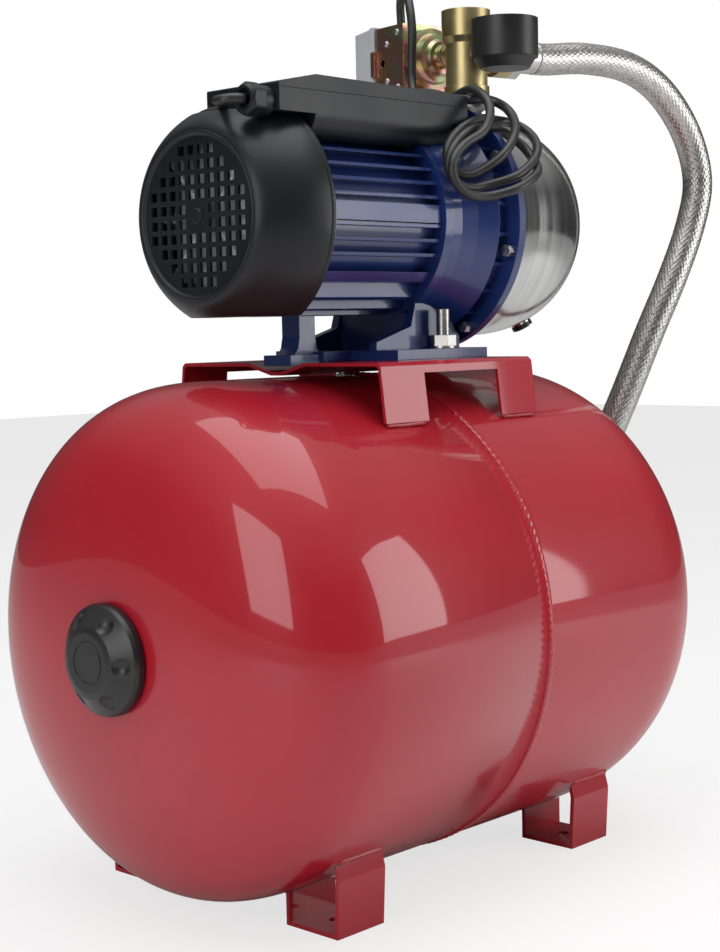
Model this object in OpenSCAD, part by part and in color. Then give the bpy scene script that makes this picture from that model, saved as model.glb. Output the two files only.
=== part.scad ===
/* [Tank] */
// Outside diameter of the pressure tank
tank_d = 360; // [340:1:380]
// Overall length of the tank shell
tank_len = 475; // [450:1:500]
// Depth of each domed end
dome_depth = 99.5; // [90:0.5:110]
// Sheet thickness of the tank shell
tank_wall = 2; // [1.5:0.1:2.5]
// Clear height between the floor and the lowest line of the tank
tank_gap = 9; // [6:1:20]
// Position of the girth weld along the tank
seam_x = 3; // [-20:1:20]

/* [Feet] */
// Distance between foot bolts along the tank
bolt_pitch_x = 259; // [240:1:280]
// Distance between foot bolts across the tank
bolt_pitch_y = 185; // [170:1:190]
// Width of each bent foot strip
foot_w = 45; // [35:1:55]
// Diameter of the foot bolt hole
foot_hole_d = 9; // [7:0.5:11]

/* [Saddle] */
// Height of the pump platform above the floor
saddle_top = 379.3; // [379:0.1:380]
// Half length of the pump platform
saddle_half = 83; // [80:1:90]

/* [Pump] */
// Height of the shaft axis above the floor
axis_z = 481.7; // [481:0.1:483]
// Outside radius over the motor fins
fin_r = 70; // [68:0.5:71]
// Radius of the bracket flange
flange_r = 97.7; // [95:0.1:99]
// Radius of the stainless casing
casing_r = 86.8; // [84:0.1:88]
// Diameter of the motor shaft at the impeller
shaft_d = 15; // [13:1:16]

/* [Head] */
// Position of the discharge axis along the pump
head_x = 136; // [134:1:138]
// Turn of the manifold about its own axis, in degrees
head_turn = 10; // [5:1:15]
// Height of the manifold's side ports
port_z = 620; // [618:1:621]
// Diameter of the pressure gauge
gauge_d = 52; // [48:1:54]
// Diameter of the braided hose
hose_d = 26; // [24:1:28]
// Diameter of the motor lead
lead_d = 7; // [6:0.5:8]

/* [Hidden] */
$fn = 64;

g1_r = 15.15;            // minor radius of a one inch pipe thread
gap = 0.3;               // clearance between neighbouring pieces
tank_r = tank_d / 2;
tank_z = tank_gap + tank_r;
tank_mid = -4;           // tank centre, seen from the centre of the foot bolts
tank_left = tank_mid - tank_len / 2;
tank_right = tank_mid + tank_len / 2;
foot_x = bolt_pitch_x / 2;
foot_y = bolt_pitch_y / 2;
sheet = 2.5;             // saddle sheet thickness
stud_x = 41;             // pump holding-down studs
stud_y = 52;
bolt_circle = 91.8;      // radius of the casing bolt circle
rear_bearing_x = -110;
front_bearing_x = 17;
gland_y = -47;
gland_z = 556;
box_left = -97;          // terminal box ends
box_right = 64;
box_near = -60;
box_far = 50;
box_split = 564.6;       // height of the joint between box and lid
face_x = -155.5;         // front face of the fan cover
rim_x = -103.7;          // open rim of the fan cover
cover_foot = 412.6;      // height of the flat under the fan cover
cover_head = 553;        // height of the flat on top of it
gauge_reach = 46;        // from the manifold axis to the gauge axis
hose_points = [[205, -12.2, 620], [222, -15.2, 620.5], [262, -24, 624], [310, -34, 620],
    [348, -42, 602], [379, -48, 568], [391, -52, 527], [382, -50, 487], [362, -44, 441],
    [342, -34, 395], [324, -22, 345], [312, -10, 305], [304, -1.5, 272], [303, 0, 260], [303, 0, 248.5]];
lead_out = [[-152, -47, 556], [-159, -46.3, 555.8], [-164, -41.5, 555.2], [-164, -34, 554.8],
    [-157.5, -28, 556], [-147, -20, 557.4], [-134, -7, 557.6], [-122, 6, 557.6], [-112, 19, 557.6],
    [-108, 34, 558], [-105.5, 49, 556], [-99, 60.5, 547.5], [-89, 65.5, 532], [-76, 66.5, 520.5],
    [-60, 66, 517.5], [-35, 66, 517], [-10, 66, 517], [14, 67, 518], [34, 72, 524], [50, 75.5, 533],
    [62, 73, 545], [70.8, 64, 559.2], [70.8, 45.5, 571.3], [70.8, 15.8, 581], [70.8, -15.8, 581],
    [71, -38, 574.7], [73, -50, 571.5]];
coil_line = [[73, -70, 560.5], [84, -70, 562], [95, -70, 560.5], [107, -72, 557.5], [113, -79, 548],
    [109, -88, 537], [99, -93.5, 526], [84, -103, 515.5], [67, -98.5, 506.5], [52, -88, 504.5],
    [39, -84, 505.5], [30.5, -81.5, 514], [36, -79, 526.5], [49, -78.5, 536.5]];
lead_back = [[73, -69, 573], [76, -60, 577.5], [82, -45, 579], [90, -24, 577.5], [94.5, -5, 575.5],
    [97, 12, 577], [102, 26, 586], [107, 33, 600], [109.5, 34.5, 618], [111, 35, 640], [115, 41, 660],
    [124, 52, 673], [135, 67, 675], [143, 76, 667], [145.6, 77.5, 655], [145.6, 77.5, 644]];

function dome(r, d) = [for (i = [0:12]) [r * pow(cos(7.5 * i), 2 / 3), d * pow(sin(7.5 * i), 2 / 3)]];
function unit(v) = v / norm(v);
function spline(p, i, t) =
    let (a = p[max(i - 1, 0)], b = p[i], c = p[i + 1], d = p[min(i + 2, len(p) - 1)])
    0.5 * (2 * b + (c - a) * t + (2 * a - 5 * b + 4 * c - d) * t * t + (3 * b - 3 * c + d - a) * t * t * t);
function smooth(p, steps) = concat(
    [for (i = [0:len(p) - 2], s = [0:steps - 1]) spline(p, i, s / steps)], [p[len(p) - 1]]);
function tangents(q) = [for (i = [0:len(q) - 1]) unit(q[min(i + 1, len(q) - 1)] - q[max(i - 1, 0)])];
function normals(t, i, n) = i == len(t) ? [] :
    let (m = unit(n - (n * t[i]) * t[i])) concat([m], normals(t, i + 1, m));

// A flexible tube swept along hand-set points.
module swept(points, r, sides, steps) {
    q = smooth(points, steps);
    t = tangents(q);
    n = normals(t, 0, [0.1, 0.2, 1]);
    last = (len(q) - 1) * sides;
    polyhedron(
        [for (i = [0:len(q) - 1], k = [0:sides - 1])
            q[i] + r * (cos(360 * k / sides) * n[i] + sin(360 * k / sides) * cross(t[i], n[i]))],
        concat(
            [[for (k = [0:sides - 1]) k]],
            [for (i = [0:len(q) - 2], k = [0:sides - 1])
                [i * sides + k, (i + 1) * sides + k,
                 (i + 1) * sides + (k + 1) % sides, i * sides + (k + 1) % sides]],
            [[for (k = [sides - 1:-1:0]) last + k]]),
        convexity = 8);
}

// A profile of [radius, x] points turned about the X axis at height z.
module turned(profile, z) {
    translate([0, 0, z]) rotate([0, 90, 0]) rotate_extrude($fn = 96) polygon(profile);
}

// A rod along X between two positions.
module rod_x(r, x0, x1, y, z) {
    translate([x0, y, z]) rotate([0, 90, 0]) cylinder(r = r, h = x1 - x0);
}

// A hexagon bar along X.
module hex_x(across, x0, x1, y, z) {
    translate([x0, y, z]) rotate([0, 90, 0]) cylinder(d = across / cos(30), h = x1 - x0, $fn = 6);
}

// A sheet profile in Y and Z carried along X.
module along_x(x0, x1) {
    translate([x0, 0, 0]) rotate([90, 0, 90]) linear_extrude(x1 - x0) children();
}

// A side outline in X and Z carried along Y.
module along_y(y0, y1) {
    translate([0, y1, 0]) rotate([90, 0, 0]) linear_extrude(y1 - y0) children();
}

// The manifold's own axes: X to the hose, -Y to the gauge, +Y to the switch.
module at_head() {
    translate([head_x, 0, 0]) rotate([0, 0, -head_turn]) children();
}

module tank_shell_left() {
    lap = 12;
    r2 = tank_r - tank_wall;
    r3 = r2 - tank_wall;
    base = tank_left + dome_depth;
    outer = [for (p = dome(tank_r, dome_depth)) if (p[0] > 6) [p[0], base - p[1]]];
    inner = [for (p = dome(r2, dome_depth - tank_wall)) if (p[0] > 6) [p[0], base - p[1]]];
    m = len(inner);
    color([0.62, 0.13, 0.17]) union() {
        turned(concat([[r2, seam_x + lap], [r2, seam_x - 1], [tank_r, seam_x - 4]], outer,
            [[4.2, tank_left], [4.2, tank_left + tank_wall]], [for (i = [m - 1:-1:0]) inner[i]],
            [[r2, seam_x - 4], [r3, seam_x - 1], [r3, seam_x + lap]]), tank_z);
        turned([[25, tank_left - 6], [30, tank_left - 6], [30, tank_left + 1], [25, tank_left + 1]], tank_z);
    }
}

module tank_shell_right() {
    r2 = tank_r - tank_wall;
    mouth = 42;
    base = tank_right - dome_depth;
    outer = [for (p = dome(tank_r, dome_depth)) if (p[0] > mouth) [p[0], base + p[1]]];
    inner = [for (p = dome(r2, dome_depth - tank_wall)) if (p[0] > mouth) [p[0], base + p[1]]];
    m = len(inner);
    color([0.62, 0.13, 0.17]) union() {
        turned(concat([[tank_r, seam_x]], outer, [[mouth, tank_right], [mouth, tank_right - tank_wall]],
            [for (i = [m - 1:-1:0]) inner[i]], [[r2, seam_x]]), tank_z);
        turned([[mouth, tank_right - 4], [72, tank_right - 4], [72, tank_right + 6],
            [mouth, tank_right + 6]], tank_z);
    }
}

module girth_weld() {
    color([0.60, 0.12, 0.16])
        turned([[tank_r, seam_x - 4], [tank_r + 0.8, seam_x - 2.6], [tank_r + 1, seam_x - 1],
            [tank_r, seam_x], [tank_r - tank_wall, seam_x], [tank_r - tank_wall, seam_x - 1]], tank_z);
}

module air_valve() {
    color([0.72, 0.66, 0.42]) difference() {
        union() {
            rod_x(4, tank_left - 14, tank_left + 8, 0, tank_z);
            hex_x(14, tank_left - 5, tank_left, 0, tank_z);
            rod_x(9, tank_left + tank_wall + gap, tank_left + 5, 0, tank_z);
        }
        rod_x(2, tank_left - 15, tank_left + 9, 0, tank_z);
    }
}

module valve_pin() {
    color([0.8, 0.8, 0.82]) union() {
        rod_x(1.95, tank_left - 13.5, tank_left + 7.5, 0, tank_z);
        rod_x(3.6, tank_left + 8.3, tank_left + 10.3, 0, tank_z);
        rod_x(1.4, tank_left + 7, tank_left + 9, 0, tank_z);
    }
}

module air_cap() {
    color([0.09, 0.09, 0.10]) difference() {
        turned([[30.3, tank_left - 2], [37.7, tank_left - 2], [37.7, tank_left - 6], [36.6, tank_left - 9],
            [24, tank_left - 18.6], [20, tank_left - 19.6], [0, tank_left - 19.6],
            [0, tank_left - 16], [20, tank_left - 16], [30.3, tank_left - 7.5]], tank_z);
        for (k = [0:5]) translate([tank_left - 19.8, 0, tank_z]) rotate([60 * k + 30, 0, 0])
            translate([0, 0, 33]) sphere(r = 9);
    }
}

module membrane() {
    color([0.12, 0.12, 0.13]) turned([[42.5, tank_right + 9], [54, tank_right + 9], [54, tank_right + 6.3],
        [41.5, tank_right + 6.3], [41.5, tank_right - 8], [60, tank_right - 20], [92, tank_right - 42],
        [118, tank_right - 78], [124, tank_right - 130], [118, tank_right - 200], [92, tank_right - 260],
        [50, tank_right - 296], [0, tank_right - 306], [0, tank_right - 303.5], [49, tank_right - 294],
        [90, tank_right - 258], [115.5, tank_right - 199], [121.5, tank_right - 130],
        [115.5, tank_right - 79], [90, tank_right - 44], [58.5, tank_right - 22], [39, tank_right - 9],
        [39, tank_right + 9]], tank_z);
}

module tank_flange() {
    color([0.75, 0.76, 0.76]) difference() {
        union() {
            turned([[16.3, tank_right + 9.3], [54.3, tank_right + 9.3], [54.3, tank_right + 6.3],
                [72, tank_right + 6.3], [72, tank_right + 11.5], [70.5, tank_right + 13],
                [54, tank_right + 13], [24, tank_right + 14.5], [20, tank_right + 17],
                [20, tank_right + 38], [16.3, tank_right + 38]],
                tank_z);
            turned([[12, tank_right + 9.3], [17, tank_right + 9.3], [17, tank_right + 22],
                [12, tank_right + 22]], tank_z);
        }
        for (k = [0:5]) rotate_about(60 * k) rod_x(4.2, tank_right, tank_right + 20, 0, tank_z + 63);
    }
}

// Turns its children about the tank axis.
module rotate_about(a) {
    translate([0, 0, tank_z]) rotate([a, 0, 0]) translate([0, 0, -tank_z]) children();
}

module flange_bolts() {
    color([0.8, 0.8, 0.82]) for (k = [0:5]) rotate_about(60 * k) union() {
        rod_x(3.9, tank_right + 6.4, tank_right + 14, 0, tank_z + 63);
        hex_x(13, tank_right + 13, tank_right + 18.5, 0, tank_z + 63);
    }
}

// One bent strip foot: sx picks the left or right pair, sy the near or far side.
module foot(sx, sy) {
    t = 3;
    inner = foot_y - 24.2;
    outer = foot_y + 24.2;
    weld_in = tank_z - sqrt(pow(tank_r + gap, 2) - pow(inner, 2));
    weld_in2 = tank_z - sqrt(pow(tank_r + gap, 2) - pow(inner + t, 2));
    weld_out = tank_z - sqrt(pow(tank_r + gap, 2) - pow(outer - 0.5, 2));
    color([0.62, 0.13, 0.17]) translate([sx * foot_x, 0, 0]) scale([1, sy, 1]) difference() {
        along_x(-foot_w / 2, foot_w / 2) polygon([[inner, 0], [outer, 0], [outer + 2.4, 40],
            [outer - 0.5, weld_out - 0.4], [outer - 2, weld_out - 4.6], [outer - 0.8, 40.2],
            [outer - 3, t], [inner + t, t], [inner + t, weld_in2], [inner, weld_in]]);
        translate([0, foot_y, -1]) cylinder(d = foot_hole_d, h = 6);
    }
}

module foot_near_left() {
    foot(-1, -1);
}

module foot_near_right() {
    foot(1, -1);
}

module foot_far_left() {
    foot(-1, 1);
}

module foot_far_right() {
    foot(1, 1);
}

// The folded platform: a shallow trough down the middle and two notched side legs.
module pump_saddle() {
    trough = -6.5;
    top = [[5, trough], [28.5, 0], [99, 0], [102, -2.6], [106.8, -41.4]];
    under = [[104.3, -41.5], [99.7, -4.2], [97.6, -sheet], [29, -sheet], [5.5, trough - sheet]];
    half = concat(top, under);
    color([0.64, 0.14, 0.18]) difference() {
        along_x(-saddle_half, saddle_half) translate([0, saddle_top]) polygon(concat(half,
            [for (i = [len(half) - 1:-1:0]) [-half[i][0], half[i][1]]]));
        for (s = [-1, 1]) {
            translate([-39, s * 105 - 12, saddle_top - 50]) cube([81, 24, 42]);
            translate([stud_x, s * stud_y, saddle_top - 6]) cylinder(r = 5.5, h = 8);
        }
    }
}

// The cast bracket: bell, flange ring, pedestal and base plate in one casting.
module pump_bracket() {
    plate_z = saddle_top + 0.1;
    color([0.08, 0.12, 0.36]) difference() {
        union() {
            turned([[60.3, 21.3], [74, 21.3], [74, 30], [75.5, 38], [80, 51], [88, 66], [82, 67.5],
                [82, 77.5], [flange_r, 77.5], [flange_r, 85], [82, 85], [78, 70], [73, 50], [68, 36],
                [64, 33], [26, 33], [26, 37], [10.5, 37], [10.5, 30.3], [20, 30.3],
                [20, front_bearing_x], [26, front_bearing_x], [26, 26], [60.3, 26]], axis_z);
            for (k = [0:23]) translate([0, 0, axis_z]) rotate([15 * k + 7.5, 0, 0])
                translate([65, -1.5, 81]) cube([12.9, 3, 6]);
            translate([-22, -63, plate_z]) cube([101, 126, 7.2]);
            translate([-51, -17, plate_z]) cube([31, 34, 7.2]);
            translate([-81.5, -14, saddle_top - 2.2]) cube([43.5, 28, 7.6]);
            along_y(-9, 9) polygon([[-74, plate_z + 4], [-45, plate_z + 4], [-50, plate_z + 10],
                [-51.5, plate_z + 18], [-51.5, axis_z - 66], [-67.3, axis_z - 66],
                [-67.3, plate_z + 18], [-69, plate_z + 10]]);
            for (s = [-1, 1]) translate([0, s * 38, 0]) along_y(-3.5, 3.5)
                polygon([[-21, plate_z + 6], [72, plate_z + 6], [72, plate_z + 16],
                    [62, plate_z + 28.5], [36, plate_z + 42], [23, plate_z + 44],
                    [17, plate_z + 24], [-21, plate_z + 13]]);
            translate([22, -38, plate_z + 6]) cube([6, 76, 28]);
        }
        for (s = [-1, 1]) translate([stud_x, s * stud_y, plate_z - 1]) cylinder(r = 5.5, h = 12);
        at_casing_bolts() rod_x(2.2, 76, 86, 0, bolt_circle);
    }
}

// The drain boss, square to the sloping underside of the casing.
module at_drain() {
    translate([0, 0, axis_z]) rotate([-13.3, 0, 0]) translate([177, 0, -78.2])
        rotate([0, -25.6, 0]) children();
}

// Places its children at the eight casing bolts, on the shaft axis.
module at_casing_bolts() {
    for (k = [0:7]) translate([0, 0, axis_z]) rotate([45 * k + 15, 0, 0]) children();
}

// The outside of the bell, grown by g, for the pieces that sit over it.
module bell_room(g) {
    turned([[0, 20], [74 + g, 20], [74 + g, 30], [75.5 + g, 38], [80 + g, 51], [88 + g, 66],
        [88 + g, 67], [0, 67]], axis_z);
}

module saddle_bolts() {
    plate_top = saddle_top + 7.3;
    color([0.75, 0.75, 0.74]) for (s = [-1, 1]) translate([stud_x, s * stud_y, 0]) union() {
        translate([0, 0, saddle_top - sheet - 6]) cylinder(r = 5, h = 44.8);
        translate([0, 0, plate_top + 0.1]) cylinder(r = 9.5, h = 1.8);
        translate([0, 0, plate_top + 1.8]) cylinder(d = 17 / cos(30), h = 8, $fn = 6);
        translate([0, 0, saddle_top - sheet - 5.6]) cylinder(d = 15 / cos(30), h = 5.4, $fn = 6);
    }
}

module motor_frame() {
    x0 = -98;
    x1 = 21;
    color([0.08, 0.12, 0.36]) difference() {
        union() {
            rod_x(62, x0, x1, 0, axis_z);
            intersection() {
                rod_x(fin_r, x0, x1, 0, axis_z);
                union() {
                    for (k = [-3:4]) translate([x0 - 1, -80, axis_z + 3 + 10.4 * k]) cube([121, 160, 2.4]);
                    translate([x0 - 1, -80, axis_z - 4]) cube([121, 160, 13]);
                    translate([x0 - 1, -80, axis_z - 46]) cube([121, 160, 7]);
                    for (s = [-1, 1], y = [12, 26, 40]) translate([x0 - 1, s * y - 1.4, axis_z - 80])
                        cube([121, 2.8, 50]);
                }
            }
            translate([x0 + 30, -22, axis_z + 55]) cube([84, 50, 14.6]);
            translate([-64, -12, axis_z - 65.6]) cube([10, 24, 8]);
        }
        rod_x(58.3, x0 - 1, x1 + 1, 0, axis_z);
        translate([-30, 0, axis_z + 40]) cylinder(r = 9, h = 40);
        rod_x(14, -75, -42, 0, axis_z - 80);
    }
}

module stator_core() {
    color([0.5, 0.5, 0.52]) difference() {
        rod_x(58, -72, -4, 0, axis_z);
        rod_x(33.6, -73, -3, 0, axis_z);
        for (k = [0:23]) translate([0, 0, axis_z]) rotate([15 * k, 0, 0]) translate([-73, -2, 36])
            cube([70, 4, 12]);
    }
}

module stator_windings() {
    color([0.72, 0.36, 0.16]) union() {
        turned([[37, -90], [49, -90], [52, -84], [52, -72.4], [36, -72.4], [35.4, -84]], axis_z);
        turned([[36, -3.6], [52, -3.6], [52, 6], [49, 12], [37, 12], [35.4, 6]], axis_z);
    }
}

module rear_end_shield() {
    color([0.62, 0.63, 0.65]) difference() {
        turned([[17.5, rear_bearing_x], [22, rear_bearing_x], [22, -106], [79.6, -106], [79.6, -99],
            [58, -98.3], [58, -94], [55, -94], [55, -100], [22, -100], [22, -97], [10, -97],
            [10, -99], [17.5, -99]], axis_z);
        for (k = [0:5]) translate([0, 0, axis_z]) rotate([60 * k, 0, 0]) translate([-115, 0, 40])
            rotate([0, 90, 0]) cylinder(r = 6, h = 30);
        translate([-107, -60, cover_foot - 20]) cube([10, 120, 22.7]);
        translate([-107, -60, cover_head - 2.7]) cube([10, 120, 20]);
    }
}

module wave_spring() {
    color([0.7, 0.7, 0.72]) turned([[13, 15.9], [17.5, 15.9], [17.5, 16.7], [13, 16.7]], axis_z);
}

// Outer rings of the two ball bearings.
module bearing_outer_rings() {
    color([0.78, 0.78, 0.8]) union() {
        turned([[14.4, rear_bearing_x], [17.45, rear_bearing_x], [17.45, -99.2], [14.4, -99.2]], axis_z);
        turned([[16.4, 17.2], [19.95, 17.2], [19.95, 29.2], [16.4, 29.2]], axis_z);
    }
}

module bearing_balls() {
    color([0.85, 0.85, 0.87]) for (k = [0:7]) translate([0, 0, axis_z]) rotate([45 * k, 0, 0]) union() {
        translate([-104.6, 0, 12.05]) sphere(r = 2, $fn = 24);
        translate([23.2, 0, 13.95]) sphere(r = 2.1, $fn = 24);
    }
}

module bearing_inner_rings() {
    color([0.78, 0.78, 0.8]) union() {
        turned([[7.5, rear_bearing_x], [9.7, rear_bearing_x], [9.7, -99.2], [7.5, -99.2]], axis_z);
        turned([[8.5, 17.2], [11.5, 17.2], [11.5, 29.2], [8.5, 29.2]], axis_z);
    }
}

module motor_shaft() {
    color([0.74, 0.75, 0.77]) union() {
        rod_x(6, -147, -119, 0, axis_z);
        rod_x(7.5, -119, -96, 0, axis_z);
        rod_x(11, -96, 17, 0, axis_z);
        rod_x(8.5, 17, 40, 0, axis_z);
        rod_x(shaft_d / 2, 40, 103, 0, axis_z);
        rod_x(5, 103, 117, 0, axis_z);
    }
}

module rotor_core() {
    color([0.55, 0.56, 0.58]) union() {
        turned([[11, -72], [33, -72], [33, -4], [11, -4]], axis_z);
        turned([[20, -79], [31, -79], [31, 3], [20, 3]], axis_z);
    }
}

module cooling_fan() {
    color([0.6, 0.62, 0.64]) union() {
        turned([[6, -146], [13, -146], [13, -123.5], [64, -119], [64, -117], [13, -119.4],
            [6, -119.4]], axis_z);
        for (k = [0:7]) translate([0, 0, axis_z]) rotate([45 * k, 0, 0])
            translate([-143, -1.2, 12]) cube([24.5, 2.4, 50]);
    }
}

// Moulded cowl: domed shoulder, raised rounded rim and a square-hole grille.
module fan_cover() {
    n = 1.6;
    t = 2.4;
    flat_r = 58;
    bulge = 24.85;
    shoulder_x = rim_x - 3;
    depth = shoulder_x - face_x;
    shoulder = [for (i = [0:9])
        [flat_r + bulge * pow(cos(10 * i), 2 / n), shoulder_x - depth * pow(sin(10 * i), 2 / n)]];
    lining = [for (i = [9:-1:0])
        [flat_r - t + bulge * pow(cos(10 * i), 2 / n), shoulder_x - (depth - t) * pow(sin(10 * i), 2 / n)]];
    rows = [4, 6, 8, 10, 8, 8, 10, 8, 6, 4];
    color([0.10, 0.10, 0.11]) difference() {
        turned(concat([[flat_r + bulge, rim_x]], shoulder, [[57, face_x], [54.5, face_x + 1.6],
            [0, face_x + 1.6], [0, rim_x]]), axis_z);
        translate([-170, -100, cover_foot - 30]) cube([80, 200, 30]);
        translate([-170, -100, cover_head]) cube([80, 200, 30]);
        difference() {
            turned(concat([[0, face_x + 4], [55, face_x + 4]], lining,
                [[flat_r + bulge - t, rim_x], [flat_r + bulge - t, rim_x + 1], [0, rim_x + 1]]), axis_z);
            translate([-170, -100, cover_foot - 30]) cube([80, 200, 30 + t]);
            translate([-170, -100, cover_head - t]) cube([80, 200, 30]);
        }
        for (j = [0:9], i = [0:rows[j] - 1]) {
            split = rows[j] == 8 && j > 3 && j < 6 ? (i < 4 ? -10 : 10) : 0;
            y = 10 * (i - (rows[j] - 1) / 2) + split;
            translate([face_x - 1, y - 3.35, axis_z + 10 * (j - 4.5) - 3.35]) cube([8, 6.7, 6.7]);
        }
    }
}

module terminal_box() {
    color([0.11, 0.11, 0.13]) difference() {
        union() {
            translate([box_left, -44, 552]) cube([box_right - box_left, box_far + 44, box_split - 552]);
            rod_x(18, box_left, 46, -42, 551.5);
            translate([box_left, box_near, 551.5]) cube([box_right - box_left, 20, box_split - 551.5]);
            translate([-131, box_near, 549]) cube([35, 26, box_split - 549]);
        }
        translate([box_left - 1, box_near - 1, box_split]) cube([150, 40, 10]);
        rod_x(84.6, -160, -103, 0, axis_z);
        rod_x(80.2, -108, -98.4, 0, axis_z);
        bell_room(0.6);
        rod_x(16.2, box_left + 3, 20.5, -42, 551.5);
        difference() {
            union() {
                translate([box_left + 3, -27, 555]) cube([box_right - box_left - 6, 74, 12]);
                translate([box_left + 3, -57, 556]) cube([box_right - box_left - 6, 32, 12]);
            }
            bell_room(3.4);
        }
        translate([-128, -57, 551]) cube([36, 20, 16]);
        rod_x(6.1, -140, -120, gland_y, gland_z);
        translate([-30, 0, 545]) cylinder(r = 9, h = 15);
    }
}

module terminal_lid() {
    z0 = box_split + 0.2;
    color([0.12, 0.12, 0.14]) difference() {
        union() {
            along_y(box_near, box_far) polygon([[box_left, z0], [box_right, z0], [box_right, 573.4],
                [box_left + 1, 575.4], [box_left, 574.6]]);
            along_y(box_near, -34) polygon([[-131, z0], [box_left + 1, z0], [box_left + 1, 575.4],
                [-131, 567.4]]);
        }
        along_y(box_near + 2.5, box_far - 2.5) polygon([[box_left + 3, z0 - 1],
            [box_right - 3, z0 - 1], [box_right - 3, 571], [box_left + 3, 572.8]]);
        bell_room(0.6);
    }
}

module capacitor() {
    color([0.8, 0.8, 0.8]) union() {
        rod_x(15.8, box_left + 5, 16, -42, 551.5);
        for (s = [-1, 1]) translate([15, -44.5 + 6 * s, 549]) cube([5, 5, 4]);
    }
}

module terminal_block() {
    color([0.85, 0.84, 0.8]) difference() {
        translate([-30, -8, 555.3]) cube([50, 18, 14]);
        for (k = [0:3]) translate([-23 + 12 * k, 1, 560]) cylinder(r = 2.4, h = 12);
    }
}

module cable_gland() {
    color([0.1, 0.1, 0.11]) difference() {
        union() {
            rod_x(6, -139.8, -126, gland_y, gland_z);
            rod_x(10, -139.8, -131.2, gland_y, gland_z);
        }
        rod_x(lead_d / 2 + 0.05, -142, -120, gland_y, gland_z);
    }
}

module gland_nut() {
    color([0.1, 0.1, 0.11]) difference() {
        intersection() {
            hex_x(20.5, -152, -140, gland_y, gland_z);
            turned_at(gland_y, gland_z, [[0, -153.4], [7.4, -153.4], [11.4, -149], [11.4, -139], [0, -139]]);
        }
        rod_x(lead_d / 2 + 0.05, -155, -138, gland_y, gland_z);
        turned_at(gland_y, gland_z, [[0, -154], [7.4, -154], [5, -147], [0, -147]]);
    }
}

// A profile of [radius, x] points turned about a line along X through y and z.
module turned_at(y, z, profile) {
    translate([0, y, z]) rotate([0, 90, 0]) rotate_extrude($fn = 64) polygon(profile);
}

// Deep-drawn stainless casing with its rim, suction socket and discharge collar.
module pump_casing() {
    x0 = 85.3;
    straight = 117;
    deep = 93;
    t = 2;
    mouth = 20;
    outer = [for (p = dome(casing_r, deep)) if (p[0] > mouth) [p[0], straight + p[1]]];
    inner = [for (p = dome(casing_r - t, deep - t)) if (p[0] > mouth) [p[0], straight + p[1]]];
    m = len(inner);
    color([0.78, 0.78, 0.79]) difference() {
        union() {
            turned(concat([[95.2, x0], [95.2, x0 + 2.2], [casing_r + 2, x0 + 2.2],
                [casing_r, x0 + 5]], outer, [[mouth, straight + deep], [mouth, straight + deep - t]],
                [for (i = [m - 1:-1:0]) inner[i]], [[casing_r - t, x0]]), axis_z);
            turned([[g1_r, 198], [22, 198], [22, 224], [20.6, 226], [g1_r, 226]], axis_z);
            translate([head_x, 0, axis_z + casing_r - 3]) cylinder(r = 21, h = 12.4);
            at_drain() translate([0, 0, -2]) cylinder(r = 8, h = 5);
        }
        translate([head_x, 0, axis_z + casing_r - 14]) cylinder(r = g1_r, h = 40);
        at_drain() translate([0, 0, -10]) cylinder(r = 5, h = 20);
        at_casing_bolts() rod_x(2.2, 84, 89, 0, bolt_circle);
    }
}

module casing_bolts() {
    color([0.8, 0.8, 0.82]) at_casing_bolts() union() {
        hex_x(8, 70.5, 77.4, 0, bolt_circle);
        rod_x(2, 77, 91, 0, bolt_circle);
        rod_x(2.9, 87.6, 90, 0, bolt_circle);
    }
}

module casing_seal() {
    color([0.08, 0.08, 0.08]) turned([[80.6, 85.4], [84.2, 85.4], [84.2, 87.4], [80.6, 87.4]], axis_z);
}

module seal_plate() {
    color([0.72, 0.72, 0.73]) turned([[14, 76], [24, 76], [24, 84], [80.4, 85.4], [80.4, 87.4], [22, 87.4],
        [22, 90], [18.4, 90], [18.4, 78], [14, 78]], axis_z);
}

module seal_seat() {
    color([0.9, 0.9, 0.88]) turned([[10, 78.2], [18.2, 78.2], [18.2, 84], [10, 84]], axis_z);
}

module seal_head() {
    inner = shaft_d / 2 + 0.05;
    color([0.2, 0.2, 0.22]) turned([[inner, 84.3], [13, 84.3], [13, 89], [15, 89], [15, 92.4],
        [inner, 92.4]], axis_z);
}

// Closed impeller: two shrouds, six blades and a hub held by a nut.
module impeller() {
    color([0.72, 0.6, 0.36]) union() {
        turned([[shaft_d / 2, 92.6], [14, 92.6], [14, 94], [60, 94], [60, 96], [14, 97.5], [12, 102.8],
            [shaft_d / 2, 102.8]], axis_z);
        turned([[18, 108], [21, 108], [24, 104.6], [60, 102], [60, 100.4], [22, 102.6], [18, 104]], axis_z);
        for (k = [0:5]) translate([0, 0, axis_z]) rotate([60 * k, 0, 0]) translate([95.5, 3, 20])
            rotate([-28, 0, 0]) cube([6.4, 2, 36]);
        translate([0, 0, axis_z]) difference() {
            translate([103, 0, 0]) rotate([0, 90, 0]) cylinder(d = 17 / cos(30), h = 7, $fn = 6);
            translate([102, 0, 0]) rotate([0, 90, 0]) cylinder(r = 5, h = 9);
        }
    }
}

module diffuser() {
    color([0.1, 0.1, 0.11]) union() {
        turned([[62.5, 92], [70, 92], [70, 112], [28, 116], [28, 124], [24.5, 124], [24.5, 110],
            [62.5, 105.5]], axis_z);
        for (k = [0:5]) translate([0, 0, axis_z]) rotate([60 * k + 12, 0, 0]) translate([93, 4, 69])
            rotate([-60, 0, 0]) cube([14, 2.4, 12]);
    }
}

// Nozzle and venturi that feed the impeller eye.
module ejector() {
    color([0.14, 0.14, 0.15]) union() {
        turned([[20.5, 112], [24.2, 112], [24.2, 126], [16, 136], [11, 168], [11, 178], [17.5, 186],
            [17.5, 196], [12.5, 196], [12.5, 187], [8.5, 179], [8.5, 167], [13, 138], [20.5, 126]], axis_z);
    }
}

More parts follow.
